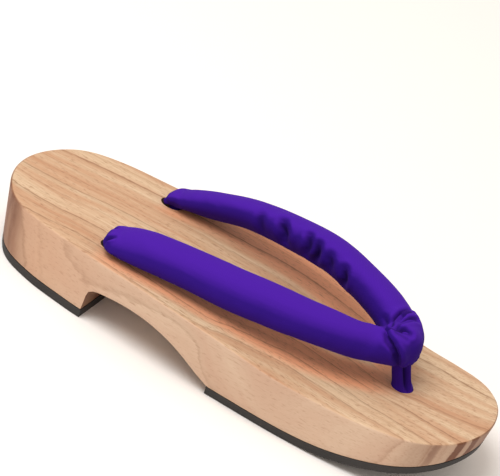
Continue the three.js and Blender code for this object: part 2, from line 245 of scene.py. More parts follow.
def boardSolid(name, stations, topOf, underOf, topRound, underRound, down):
    # one closed ring of points round each station, joined into a skin
    levels = []
    for i in range(5):
        turn = math.pi / 8 * i
        levels.append((topRound * (1 - math.sin(turn)), 1, -topRound * (1 - math.cos(turn))))
    for i in range(1, down):
        levels.append((0, 1 - i / down, None))
    for i in range(4):
        turn = math.pi / 6 * i
        levels.append((underRound * (1 - math.cos(turn)), 0, underRound * (1 - math.sin(turn))))
    rings = []
    for x in stations:
        columns = {}
        for side in (1, -1):
            column = []
            for inset, share, offset in levels:
                def height(at, share=share, offset=offset):
                    if offset is None:
                        low = underOf(at) + underRound
                        return low + (topOf(at) - topRound - low) * share
                    return (topOf(at) if share else underOf(at)) + offset
                column.append(wallPoint(x, side, inset, height))
            columns[side] = column
        left, right = columns[1], columns[-1]
        ring = list(left)
        for i in range(1, board["across"]):
            ring.append(tuple(Vector(left[-1]).lerp(Vector(right[-1]), i / board["across"])))
        ring += right[::-1]
        for i in range(1, board["across"]):
            ring.append(tuple(Vector(right[0]).lerp(Vector(left[0]), i / board["across"])))
        rings.append(ring)
    count = len(rings[0])
    faces = ringFaces(len(rings), count)
    for r, x in ((0, stations[0]), (len(rings) - 1, stations[-1])):
        if boardEnd - abs(x) > 0.01:
            faces.append(tuple(range(r * count, (r + 1) * count)))
    return meshFrom(name, [p for ring in rings for p in ring], faces)


holes = {
    "rear": {"top": (-59.5, 31.5), "foot": (-49, 17.4), "y": 29.3, "radius": 4.4, "reach": 5,
             "recess": 6.6, "recessTop": 22},
    "front": {"x": 79.6, "y": 1.5, "radius": 5, "recess": 9.6, "recessTop": 17},
}


def roundRings(rows, sides=40):  # level rings from rows of (x, y, z, half along, half across)
    rings = []
    for x, y, z, halfX, halfY in rows:
        rings.append([Vector((x + halfX * math.cos(2 * math.pi * i / sides),
                              y + halfY * math.sin(2 * math.pi * i / sides), z)) for i in range(sides)])
    return rings


def closeRings(rings):  # points and faces of a tube whose ends close on a middle point
    count = len(rings[0])
    points = [p for ring in rings for p in ring]
    faces = ringFaces(len(rings), count)
    for ring, base in ((rings[0], 0), (rings[-1], (len(rings) - 1) * count)):
        middle = sum(ring, Vector()) / count
        points.append(middle)
        for i in range(count):
            faces.append((len(points) - 1, base + i, base + (i + 1) % count))
    return points, faces


def holeCutters():  # round plugs: slanted at the rear, upright at the toe, wider below for each knot
    rear, front = holes["rear"], holes["front"]
    (topX, topZ), (footX, footZ) = rear["top"], rear["foot"]
    slant = (topX - footX) / (topZ - footZ)
    long = rear["radius"] / math.cos(math.atan(slant))
    plugs = []
    for y in (rear["y"], -rear["y"]):
        high, low = topZ + rear["reach"], footZ - rear["reach"]
        plugs.append([(topX + slant * rear["reach"], y, high, long, rear["radius"]),
                      (footX - slant * rear["reach"], y, low, long, rear["radius"])])
        plugs.append([(footX, y, z, rear["recess"], rear["recess"]) for z in (0, rear["recessTop"])])
    x, y = front["x"], front["y"]
    plugs.append([(x, y, 0, front["recess"], front["recess"]),
                  (x, y, front["recessTop"], front["recess"], front["recess"]),
                  (x, y, front["recessTop"], front["radius"], front["radius"]),
                  (x, y, 50, front["radius"], front["radius"])])
    return [meshFrom("plug", *closeRings(roundRings(rows)), 0.0001) for rows in plugs]


print("geta: carving the board")
archStations = [x for x, _ in board["arch"]] + [-58, -57.75, -57.5, board["heelFront"]]
boardMesh = boardSolid("woodenBoard", boardStations(-boardEnd, boardEnd, archStations), footbedHeight,
                       woodUnderside, board["topRound"], board["underRound"], 8)
woodenBoard = linkPiece("woodenBoard", boardMesh, "paulownia_wood", "wood_base")
for cutter in holeCutters():
    plug = bpy.data.objects.new("plug", cutter)
    scene.collection.objects.link(plug)
    cut = woodenBoard.modifiers.new("hole", "BOOLEAN")
    cut.operation = "DIFFERENCE"
    cut.solver = "EXACT"
    cut.object = plug
    bakeModifiers(woodenBoard)
    bpy.data.objects.remove(plug)
smoothUnder(woodenBoard.data, 33)


# Rubber treads
print("geta: cutting the treads")
treads = {"edgeRound": 0.5, "heel": (-boardEnd, -57.3), "front": (9.6, boardEnd)}


def treadTop(x):
    return floorSide(x) + board["treadThickness"]


treadPieces = []
for end, node in (("heel", "rubber_tread_heel"), ("front", "rubber_tread_front")):
    mesh = boardSolid(end + "Tread", boardStations(*treads[end]), treadTop, floorSide,
                      0.25, treads["edgeRound"], 3)
    smoothUnder(mesh, 40)
    treadPieces.append(linkPiece(end + "Tread", mesh, "black_rubber", node))


# Padded strap
strap = {
    # centre line, half of the broad way, half of the thin way, lean in degrees
    "right": [(-56, -31.8, 37.6, 10.1, 5.2, 10), (-50, -31.8, 39.3, 10.7, 6.1, 14),
              (-40, -31.7, 41.2, 11, 7, 18), (-20, -29.8, 42.8, 11.1, 7.5, 20),
              (0, -28.4, 44, 11.2, 7.8, 24), (20, -25.1, 45.1, 10.9, 7.8, 24),
              (40, -19.3, 45.1, 10.2, 7.8, 18), (56, -11.8, 44, 9.4, 7.8, 12),
              (64, -7, 44.2, 9, 8, 6), (70, -3, 45, 8.9, 8.6, 0)],
    "left": [(-56, 31, 36, 9.6, 4.1, 8), (-50, 31.3, 37.9, 10.4, 5.3, 12),
             (-40, 31.5, 41, 11, 6.6, 17), (-20, 30.8, 47.4, 11.4, 7.4, 20),
             (0, 29.6, 50.5, 11.6, 8.1, 24), (20, 27.6, 52.1, 11.7, 8.4, 24),
             (40, 22.2, 50.9, 11.2, 8.2, 18), (56, 16, 49, 10.5, 8.2, 12),
             (64, 11.3, 47.1, 9.8, 8.4, 6), (70, 5, 45.8, 8.9, 8.6, 0)],
    "sides": 24,
    "step": 3,
    # how far each rear end reaches past its last row, how far it turns inwards, and how far it drops
    "rearEnd": {"right": (7, 0, 2.6), "left": (7.6, 3.2, 6.5)},
    "frontReach": 6.8,
    "fold": {"centre": (70.4, 1.4, 45.6), "half": (9.3, 9, 9.2)},
    # the cord in each rear end: place, height and half width, down to its knot in the arch
    "cord": [(-54, 31, 35.6, 2.4), (-56.6, 30.4, 33.4, 2.5), (-57.8, 29.7, 31, 2.6), (-56.8, 29.3, 28.5, 3),
             (-54.4, 29.3, 25, 3), (-51.8, 29.3, 21.5, 3), (-50, 29.3, 18.6, 3)],
    "knot": {"z": 19, "half": (6, 6, 2.4)},
    "slack": 0.8,  # how much smaller the tube is cut than it stands when stuffed
    "voxel": 2.4,
    "patternVoxel": 1.0,
    "toPattern": 0.75,
    "heldBehind": -60,
    "pinched": (69, 3),  # the fold is held there: middle and reach along the board
    "cloth": {"quality": 6, "mass": 0.15, "tension_stiffness": 12, "compression_stiffness": 8,
              "shear_stiffness": 4, "bending_stiffness": 0.4, "use_pressure": True,
              "uniform_pressure_force": 4, "shrink_min": -0.03, "vertex_group_mass": "held"},
    "most": 1.6,  # furthest a point may swell
    "frames": 20,
}


def armCurves(rows):
    return [curveThrough([(row[0], row[c]) for row in rows]) for c in range(1, 6)]


arms = {"right": armCurves(strap["right"]), "left": armCurves(strap["left"])}


def armSection(centre, along, side, broad, thin, lean):
    level = Vector((-along.y, along.x, 0)).normalized() * side
    upward = along.cross(level).normalized() * side
    tilt = math.radians(lean)
    broadWay = level * math.cos(tilt) - upward * math.sin(tilt)
    thinWay = upward * math.cos(tilt) + level * math.sin(tilt)
    ring = []
    for i in range(strap["sides"]):
        turn = 2 * math.pi * side * i / strap["sides"]
        ring.append(centre + broadWay * broad * math.cos(turn) + thinWay * thin * math.sin(turn))
    return ring


def armTube(name, side, less):  # one arm of the strap as closed rings from its rear end to the fold
    y, z, broad, thin, lean = arms[name]
    first, last = strap[name][0][0], strap[name][-1][0]
    count = round((last - first) / strap["step"])
    stations = []
    for i in range(count + 1):
        x = first + (last - first) * i / count
        ahead, behind = min(last, x + 0.5), max(first, x - 0.5)
        along = Vector((ahead - behind, y(ahead) - y(behind), z(ahead) - z(behind))).normalized()
        stations.append((Vector((x, y(x), z(x))), along, broad(x) - less, thin(x) - less, lean(x)))

    def cap(station, way, reach, inward, drop):
        made = []
        centre, along, wide, thick, turnOver = station
        for i in range(1, 6):
            turn = math.pi / 2 * i / 5.4
            place = centre + way * (reach - less) * math.sin(turn)
            place.y -= side * inward * math.sin(turn) ** 2
            place.z -= drop * (1 - math.cos(turn))
            made.append((place, along, wide * math.cos(turn), thick * math.cos(turn), turnOver))
        return made

    back = cap(stations[0], Vector((-1, 0, 0)), *strap["rearEnd"][name])[::-1]
    front = cap(stations[-1], stations[-1][1], strap["frontReach"], 0, 0)
    rings = [armSection(s[0], s[1], side, *s[2:]) for s in back + stations + front]
    return closeRings(rings)


def lump(centre, half, sides=24):
    rings = []
    for r in range(1, 12):
        turn = math.pi * r / 12
        rings.append([
            Vector((centre[0] + half[0] * math.sin(turn) * math.cos(2 * math.pi * i / sides),
                    centre[1] + half[1] * math.sin(turn) * math.sin(2 * math.pi * i / sides),
                    centre[2] + half[2] * math.cos(turn)))
            for i in range(sides)
        ])
    return closeRings(rings)


def joined(name, parts):
    points, faces = [], []
    for partPoints, partFaces in parts:
        start = len(points)
        points += list(partPoints)
        faces += [tuple(start + i for i in face) for face in partFaces]
    return meshFrom(name, points, faces, 0.0001)


def remesh(piece, voxel):
    grown = piece.modifiers.new("skin", "REMESH")
    grown.mode = "VOXEL"
    grown.voxel_size = voxel * mm
    bakeModifiers(piece)


def stuffedCloth(piece):  # swells the cloth under pressure, then keeps the result as the mesh
    start = coordsOf(piece.data)
    held = piece.vertex_groups.new(name="held")
    rearCaps = [int(i) for i in np.where(start[:, 0] < strap["heldBehind"])[0]]
    foldAt, foldReach = strap["pinched"]
    pinched = [int(i) for i in np.where(np.abs(start[:, 0] - foldAt) < foldReach)[0]]
    held.add(rearCaps + pinched, 1.0, "REPLACE")
    sim = piece.modifiers.new("stuffing", "CLOTH")
    for name, value in strap["cloth"].items():
        setattr(sim.settings, name, value)
    sim.settings.effector_weights.gravity = 0
    sim.collision_settings.use_collision = False
    sim.point_cache.frame_start = 1
    sim.point_cache.frame_end = strap["frames"]
    for shown in range(1, strap["frames"] + 1):
        scene.frame_set(shown)
    bakeModifiers(piece)
    scene.frame_set(1)
    moved = coordsOf(piece.data) - start
    length = np.linalg.norm(moved, axis=1, keepdims=True)
    moved *= np.minimum(1, strap["most"] / np.maximum(length, 1e-9))
    setCoords(piece.data, start + moved)
    print("geta: stuffing moved the cloth by", round(float(length.mean()), 2), "mm on average")


def strapMesh(name, less):
    half = [h - less for h in strap["fold"]["half"]]
    return joined(name, [armTube("left", 1, less), armTube("right", -1, less),
                         lump(strap["fold"]["centre"], half)])


def treeOf(mesh):
    work = bmesh.new()
    work.from_mesh(mesh)
    tree = BVHTree.FromBMesh(work)
    work.free()
    return tree


def easeToPattern(piece, pattern, share):  # brings each point part of the way to the cut shape
    tree = treeOf(pattern)
    coords = coordsOf(piece.data)
    target = np.array([tree.find_nearest(Vector(p) * mm)[0] for p in coords]) / mm
    setCoords(piece.data, coords + (target - coords) * share)


print("geta: stuffing the strap")
pattern = bpy.data.objects.new("pattern", strapMesh("pattern", 0))
scene.collection.objects.link(pattern)
remesh(pattern, strap["patternVoxel"])
paddedStrap = linkPiece("paddedStrap", strapMesh("paddedStrap", strap["slack"]), "violet_cotton",
                        "padded_strap")
remesh(paddedStrap, strap["voxel"])
stuffedCloth(paddedStrap)
addRelax(paddedStrap, 2)
finer = paddedStrap.modifiers.new("finer", "SUBSURF")
finer.levels = finer.render_levels = 2
bakeModifiers(paddedStrap)
easeToPattern(paddedStrap, pattern.data, strap["toPattern"])
bpy.data.objects.remove(pattern)
addRelax(paddedStrap, 6)
bakeModifiers(paddedStrap)

rearCords = []

# Folds, each given as a line on the cloth in millimetres, its depth and its width
creases = [
    # where the toe loop's near edge presses into the right arm
    {"line": [(65.4, -9.4, 51.9), (68, -11.8, 50.6), (71.6, -12.2, 48.6), (74, -11.8, 45.8),
              (75.2, -10.2, 42.4)], "depth": 1.1, "width": 1.3},
    # the crotch, where both arms are drawn together
    {"line": [(60.5, -3.5, 51), (62.5, -4.2, 50), (65, -4.6, 48)], "depth": 1.6, "width": 2.2},
    {"line": [(58.8, 4.5, 50.5), (61.5, 1.5, 51), (64, -2.5, 50.5)], "depth": 1.0, "width": 1.4},
    # gathers on the inner side of the left arm
    {"line": [(-5.4, 22, 57.6), (-4.2, 20, 55.8), (-2.4, 19, 53.0), (-1, 19.4, 49)],
     "depth": 3.4, "width": 2.0},
    {"line": [(8.8, 21, 58.6), (10, 18.6, 56.6), (10.9, 18.0, 54.1), (10.9, 19, 50)],
     "depth": 2.6, "width": 1.7},
    {"line": [(14.4, 20, 57.4), (15.4, 17.8, 55.2), (15.8, 18.2, 52.1), (15, 20, 48.6)],
     "depth": 3.0, "width": 1.8},
    {"line": [(31.4, 16, 55.2), (32.3, 14.2, 53.4), (33.0, 14.0, 51.1), (32.4, 15, 47.4)],
     "depth": 2.2, "width": 1.7},
    {"line": [(22, 18, 56.4), (23.4, 16, 54), (24, 16.6, 50.4)], "depth": 1.5, "width": 1.8},
    {"line": [(-16, 23, 53.6), (-14, 20.6, 50.6), (-12, 20.6, 47.4)], "depth": 1.3, "width": 1.9},
    # small pleats where the rear ends are drawn into their holes
    {"line": [(-60.6, -39.6, 36.4), (-60.4, -38.3, 38.2), (-57.4, -36.6, 40.4)],
     "depth": 1.5, "width": 0.9},
    {"line": [(-61.6, -30, 38.6), (-59.4, -29.6, 41.4)], "depth": 0.9, "width": 1.1},
    {"line": [(-60.6, -34.5, 33.6), (-56, -38.6, 33.8), (-52, -40.6, 35)], "depth": 0.9, "width": 1.0},
    {"line": [(-63, 28, 34.4), (-59, 24.6, 34.8), (-54, 22.6, 35.6)], "depth": 0.9, "width": 1.0},
]


def laidOn(tree, line):  # a fold's line in short steps, laid on the cloth
    laid = []
    for a, b in zip(line, line[1:]):
        for share in (0, 0.25, 0.5, 0.75):
            laid.append(Vector(a).lerp(Vector(b), share))
    laid.append(Vector(line[-1]))
    return [np.array(tree.find_nearest(place * mm)[0]) / mm for place in laid]


def pressFolds(mesh, folds):  # soft troughs with a low ridge along each side
    tree = treeOf(mesh)
    coords = coordsOf(mesh)
    normals = normalsOf(mesh)
    shift = np.zeros(len(coords))
    shade = np.zeros(len(coords))
    for made in folds:
        line = laidOn(tree, made["line"])
        line = [line[0]] + [b for a, b in zip(line, line[1:]) if np.linalg.norm(b - a) > 0.01]
        lengths = [np.linalg.norm(b - a) for a, b in zip(line, line[1:])]
        total = sum(lengths)
        nearest = np.full(len(coords), 1e9)
        place = np.zeros(len(coords))
        run = 0
        for a, b, length in zip(line, line[1:], lengths):
            t = np.clip(((coords - a) @ (b - a)) / length ** 2, 0, 1)
            away = np.linalg.norm(coords - (a + t[:, None] * (b - a)), axis=1)
            closer = away < nearest
            nearest[closer] = away[closer]
            place[closer] = (run + t[closer] * length) / total
            run += length
        taper = np.sin(np.pi * np.clip(0.12 + place * 0.76, 0, 1)) ** 0.8
        across = nearest / made["width"]
        trough = -np.exp(-across ** 2)
        ridge = made.get("ridge", 0.25) * np.exp(-((across - 2.1) / 0.9) ** 2)
        shift += taper * made["depth"] * (trough + ridge)
        # painted shade: how far into a fold each point lies, kept on the mesh so the cloth is darkened there
        hollow = taper * np.exp(-(nearest / (0.8 * made["width"])) ** 2) * min(1, made["depth"] / 2)
        shade = np.maximum(shade, hollow)
    setCoords(mesh, coords + normals * shift[:, None])
    mark = mesh.attributes.get("paintedFoldShade")
    if mark:
        before = np.empty(len(coords))
        mark.data.foreach_get("value", before)
        shade = np.maximum(shade, before)
    else:
        mark = mesh.attributes.new("paintedFoldShade", "FLOAT", "POINT")
    mark.data.foreach_set("value", shade)


pressFolds(paddedStrap.data, creases)
smoothUnder(paddedStrap.data, 180)


# The cloth narrows to a cord inside each rear end and goes down the slanted hole to a knot
for name, side in (("rightRearCord", -1), ("leftRearCord", 1)):
    rows = [(x, side * y, z, half, half) for x, y, z, half in strap["cord"]]
    knotAt = (holes["rear"]["foot"][0], side * holes["rear"]["y"], strap["knot"]["z"])
    cordMesh = joined(name, [closeRings(roundRings(rows)), lump(knotAt, strap["knot"]["half"])])
    rearCord = linkPiece(name, cordMesh, "violet_cotton")
    remesh(rearCord, 0.6)
    rearCords.append(rearCord)


# Toe loop
print("geta: wrapping the toe loop")
loop = {
    # The cloth over the front of the strap, in rows from the crotch to the post. Each row runs from the
    # near edge to the far edge, and says how much it clings to the strap and how far it stands off it.
    "fan": [
        ((66.5, -4.2, 43.5), (66, -3.4, 43.5), (65.6, -2.6, 43.5), (65.2, -1.8, 43.5), (64.8, -1, 43.5), 0, 0),
        ((65.0, -5.6, 47.6), (64.7, -5.0, 47.8), (64.2, -4.2, 47.8), (63.6, -3.4, 47.8), (63.2, -2.4, 47.6),
         0, 0),
        ((66.0, -8.0, 51.6), (66.0, -6.2, 52.2), (65.4, -3.6, 52.2), (64.4, -1.0, 52.2), (63.4, 2.0, 52.6),
         0.5, 0.4),
        ((68.4, -10.8, 51.3), (68.8, -6.4, 54.2), (68.2, -1.0, 55.2), (66.6, 5.0, 55.3), (64.6, 11.5, 55.3),
         1, 0.7),
        ((71.8, -11.3, 49.2), (73.0, -6.0, 52.6), (73.2, 0.6, 54.0), (71.4, 8.4, 53.6), (67.4, 16.0, 52.6),
         1, 0.8),
        ((74.4, -10.9, 46.2), (77.4, -5.6, 49.6), (78.4, 1.4, 50.4), (76.6, 8.6, 49.4), (72.4, 15.0, 47.6),
         1, 0.8),
        ((75.6, -9.2, 42.8), (78.8, -5.0, 44.8), (79.8, 1.4, 45.4), (79.0, 7.0, 44.6), (75.6, 11.4, 43.2),
         0.8, 0.8),
        ((75.8, -8.0, 40.9), (78.9, -4.6, 41.7), (79.9, 1.4, 41.9), (79.1, 7.2, 41.5), (75.8, 11, 40.7), 0, 0),
        ((75.6, -5.4, 39.4), (77.4, -3.2, 40.1), (78.0, 1.3, 40.2), (77.4, 4.6, 40.2), (75.4, 6.6, 39.7), 0, 0),
    ],
    "rows": 60,
    "columns": 40,
    "thickness": 1.3,
    # height, middle, half depth, half width
    "post": [(40.5, 73.8, 1, 4.3, 5.4), (37, 75.1, 1, 4.4, 5.3), (33.5, 76.3, 1.2, 4.5, 5.1),
             (30, 77.8, 1.4, 4.6, 4.9), (28.2, 78.8, 1.5, 4.9, 5.0), (26.8, 79.4, 1.5, 5.3, 5.3),
             (25.5, 79.6, 1.5, 4.7, 4.7), (12.5, 79.6, 1.5, 4.5, 4.5)],
    "knot": {"half": (8.4, 8.4, 3.2), "z": 13.4},
    "voxel": 0.5,
}


def throughRow(row):  # places across one row of the fan
    places = [i / 4 for i in range(5)]
    return [curveThrough(list(zip(places, [p[axis] for p in row[:5]]))) for axis in range(3)]


def fanSheet():  # a sheet laid over the fold, gathered between the arms and spread over the front
    tree = treeOf(paddedStrap.data)
    rowCurves = [throughRow(row) for row in loop["fan"]]
    last = len(loop["fan"]) - 1
    cling = curveThrough([(i, row[5]) for i, row in enumerate(loop["fan"])])
    clear = curveThrough([(i, row[6]) for i, row in enumerate(loop["fan"])])
    rows, columns = loop["rows"], loop["columns"]
    grid = []
    for r in range(rows):
        at = last * r / (rows - 1)
        line = []
        for c in range(columns):
            share = c / (columns - 1)
            guess = Vector([
                curveThrough([(i, curves[axis](share)) for i, curves in enumerate(rowCurves)])(at)
                for axis in range(3)
            ])
            hit, normal, _, _ = tree.find_nearest(guess * mm)
            edge = easeBetween(0, 0.14, min(share, 1 - share))
            stand = clear(at) * (0.4 + 0.6 * edge)
            line.append(guess.lerp(hit / mm + normal * stand, cling(at)))
        grid.append(line)
    points = [p for line in grid for p in line]
    faces = []
    for r in range(rows - 1):
        for c in range(columns - 1):
            i = r * columns + c
            faces.append((i, i + 1, i + columns + 1, i + columns))
    sheet = bpy.data.objects.new("sheet", meshFrom("sheet", points, faces, 0.0001))
    scene.collection.objects.link(sheet)
    thick = sheet.modifiers.new("thickness", "SOLIDIFY")
    thick.thickness = loop["thickness"] * mm
    thick.offset = 0
    bakeModifiers(sheet)
    made = coordsOf(sheet.data), [tuple(face.vertices) for face in sheet.data.polygons]
    bpy.data.objects.remove(sheet)
    return made


def loopPost():
    curves = [curveThrough([(-row[0], row[c]) for row in loop["post"]]) for c in range(1, 5)]
    heights = np.linspace(loop["post"][0][0], loop["post"][-1][0], 44)
    rows = []
    for z in heights:
        x, y, halfX, halfY = [curve(-z) for curve in curves]
        rows.append((x, y, z, halfX, halfY))
    return closeRings(roundRings(rows))


front = holes["front"]
knotCentre = (front["x"], front["y"], loop["knot"]["z"])
loopParts = [fanSheet(), loopPost(), lump(knotCentre, loop["knot"]["half"])]
toeLoop = linkPiece("toeLoop", joined("toeLoop", loopParts), "violet_cotton", "toe_loop")
remesh(toeLoop, loop["voxel"])
addRelax(toeLoop, 4)
bakeModifiers(toeLoop)
loopPleats = [
    # rays from the crotch over the top
    {"line": [(63.9, -4.6, 50.2), (64.4, -3.4, 54), (64.0, 2.6, 54.6), (65.2, 8, 55.2), (66.4, 12.4, 54.8)],
     "depth": 2.9, "width": 1.7},
    {"line": [(64.6, -5.0, 51.4), (66.4, -3.1, 54.8), (67.6, 2.9, 55.8), (69.4, 7.5, 55.6), (71, 10.5, 54.4)],
     "depth": 2.4, "width": 1.4},
    {"line": [(65.0, -6.0, 51.8), (68.4, -4.8, 54.4), (71.4, -3.6, 55.4), (74, -2.2, 54)],
     "depth": 1.9, "width": 1.3},
    {"line": [(65.8, -7.2, 52), (69.0, -6.6, 53.6), (71.6, -6.2, 54), (74.2, -5.6, 53.2)],
     "depth": 0.9, "width": 1.2},
    # where the near edge tucks in beside the right arm
    {"line": [(66.4, -8.6, 51.6), (70.6, -11.4, 50), (73.6, -11.2, 47), (75, -9.6, 43.6), (75.4, -7, 40.8)],
     "depth": 1.8, "width": 1.3},
    # folds that run down the post
    {"line": [(78.8, -4, 41), (79.4, -2.6, 37), (81, -1.8, 32), (83, -1.4, 27.6)],
     "depth": 2.0, "width": 1.1},
    {"line": [(80.2, 3.6, 40), (81, 3.8, 36), (82.6, 4, 30)], "depth": 1.0, "width": 0.9},
]
pressFolds(paddedStrap.data, loopPleats[:5])
pressFolds(toeLoop.data, loopPleats)
smoothUnder(toeLoop.data, 180)


# Lie of the weave
def markWeave(piece, centreLine):  # stores, in mm, the way along the cloth and the way round it
    coords = coordsOf(piece.data)
    line = np.array(centreLine, float)
    steps = np.linalg.norm(np.diff(line, axis=0), axis=1)
    run = np.concatenate([[0], np.cumsum(steps)])
    best = np.full(len(coords), 1e9)
    along = np.zeros(len(coords))
    around = np.zeros(len(coords))
    for i in range(len(line) - 1):
        a, b = line[i], line[i + 1]
        way = (b - a) / steps[i]
        t = np.clip((coords - a) @ way, 0, steps[i])
        out = coords - (a + t[:, None] * way)
        away = np.linalg.norm(out, axis=1)
        side = np.cross(way, (0, 0, 1.0))
        side = side / np.linalg.norm(side) if np.linalg.norm(side) > 0.2 else np.array((0, 1.0, 0))
        upward = np.cross(side, way)
        turn = np.arctan2(out @ side, out @ upward)
        closer = away < best
        best[closer] = away[closer]
        along[closer] = (run[i] + t)[closer]
        around[closer] = (turn * np.maximum(away, 1))[closer]
    mark = piece.data.attributes.new("clothPlace", "FLOAT_VECTOR", "POINT")
    mark.data.foreach_set("vector", np.stack([along, around, best], axis=1).astype(np.float32).ravel())


def armLine(name):
    y, z = arms[name][0], arms[name][1]
    return [(x, y(x), z(x)) for x in np.linspace(-64, 70, 40)]


markWeave(paddedStrap, armLine("left") + armLine("right")[::-1])
markWeave(toeLoop, [(64, -2, 44), (66, -1, 49), (70.4, 1, 50), (75, 1.4, 46), (76, 1.4, 38), (79.6, 1.5, 26),
                    (79.6, 1.5, 12)])
for rearCord in rearCords:
    side = 1 if rearCord.name.startswith("left") else -1
    markWeave(rearCord, [(x, side * y, z) for x, y, z, _ in strap["cord"]])


# Finishes
print("geta: finishing the surfaces")


def newMaterial(name):  # an empty material, and the call that adds nodes to it
    made = bpy.data.materials.new(name)
    made.use_nodes = True
    made.node_tree.nodes.clear()
    return made, functools.partial(addNode, made.node_tree)


def shadeWith(node, inputs):
    node("OutputMaterial", {"Surface": node("BsdfPrincipled", inputs)})


wood = {
    # Growth lines as seen from above: place across the board in mm, and how strong the line is.
    # Each one darkens slowly towards +Y and then breaks off into pale wood.
    "lines": [(-43, 0.55), (-38, 0.3), (-33.6, 0.75), (-27.5, 0.3), (-20.5, 0.85), (-15, 0.22),
              (-8.5, 0.3), (0, 0.72), (8, 0.2), (16, 0.34), (23, 0.2), (29.5, 1.0), (37, 0.3),
              (43, 0.35)],
    "pale": "#DCC3A4",
    "middle": "#C7A785",
    "late": "#7C4F2D",
    # painted shade: warm red-brown for the top under the strap's arms, where the strap shades it
    "paintedStrapShade": "#EDA379",
    # painted light: the paler colour the walls get in place of light falling on them
    "side": "#C9AE9A",
    "pore": "#96694A",
    "rose": "#BC8C6A",
    "endGrain": "#66381E",
    # how far the lines bow to +Y along the board: (place along in mm, mm)
    "nearBow": [(-123, 1), (-100, -3), (-70, 0), (-35, -4), (-8, -6), (7, -1), (24, 5), (40, 9.5),
                (60, 10), (80, 8), (96, 5), (112, 1), (123, -1)],
    "farBow": [(-123, -7), (-108, -4.5), (-87, -1.5), (-62, 1), (-24, 3), (3, 6), (28, 6), (60, 3),
               (85, 1.5), (96, -0.5), (112, -3.5), (123, -5)],
    "midBow": [(-123, -3), (-100, -2), (-67, 1.8), (0, 2), (50, 0), (78, -3.8), (90, -2.1),
               (107, -2.9), (123, -1)],
    "bowReach": 16,  # the bows are drawn for this much either way
    # middle of the board under each arm: (place along, place across)
    "underNear": [(-62, -31.8), (-40, -31.7), (-20, -29.8), (0, -28.4), (20, -25.1), (40, -19.3),
                  (56, -11.8), (70, -3), (76, 0)],
    "underFar": [(-62, 31), (-40, 36), (-20, 38), (0, 39), (20, 38), (40, 31), (56, 23), (70, 11), (76, 8)],
    "underReach": 40,
    # how dark the cut ends are, across the board in the growth lines' own measure
    "endTones": {
        "toe": [(-48, 0.25), (-33.4, 0.3), (-32.4, 0.55), (-30.4, 0.5), (-29.6, 0.22), (-23.6, 0.2),
                (-22.8, 0.95), (-18.6, 0.9), (-17.4, 0.25), (-14.6, 0.3), (-13.4, 0.85), (-9.5, 0.75),
                (-8, 0.45), (0, 0.6), (8, 0.7), (16, 0.5), (24, 0.8), (30, 0.9), (31, 0.5), (42, 0.7)],
        "heel": [(-48, 0.3), (-43.6, 0.35), (-42.6, 0.8), (-40.4, 0.7), (-39.6, 0.16), (-34.4, 0.12),
                 (-33.4, 0.7), (-26, 0.75), (-18, 0.6), (-8, 0.45), (0, 0.7), (8, 0.4), (16, 0.65),
                 (26, 0.4), (34, 0.7), (42, 0.4)],
    },
    "lineReach": 48,  # the growth lines' measure runs this far either way
    # how dense each noise is along, across and up, per millimetre, then its detail and roughness
    "noises": {
        "wander": ((0.018, 0.09, 0.09), 3, 0.5),
        "jitter": ((0.25, 0.9, 0.9), 2, 0.5),
        "broken": ((0.05, 0.8, 0.8), 4, 0.5),
        "endCloud": ((0.1, 0.1, 0.03), 3, 0.5),
        "fibre": ((0.035, 1.5, 1.5), 5, 0.65),
        "pores": ((0.3, 1.7, 1.7), 2, 0.5),
    },
}


def handCurve(node, place, rows, reach):  # a curve drawn along the board, back in millimetres
    drawn = node("FloatCurve", {"Value": place})
    mapping = drawn.node.mapping
    points = mapping.curves[0].points
    while len(points) < len(rows):
        points.new(0.5, 0.5)
    for point, (at, value) in zip(points, rows):
        point.location = (at / board["length"] + 0.5, value / (2 * reach) + 0.5)
    mapping.update()
    return node("MapRange", {"Value": drawn, "To Min": -reach, "To Max": reach})


def handTones(node, place, stops):  # grey tones drawn along the growth lines' measure
    reach = wood["lineReach"]
    drawn = node("ValToRGB", {0: place})
    elements = drawn.node.color_ramp.elements
    while len(elements) < len(stops):
        elements.new(0.5)
    for element, (at, tone) in zip(elements, stops):
        element.position = (at + reach) / (2 * reach)
        element.color = (tone, tone, tone, 1)
    return drawn


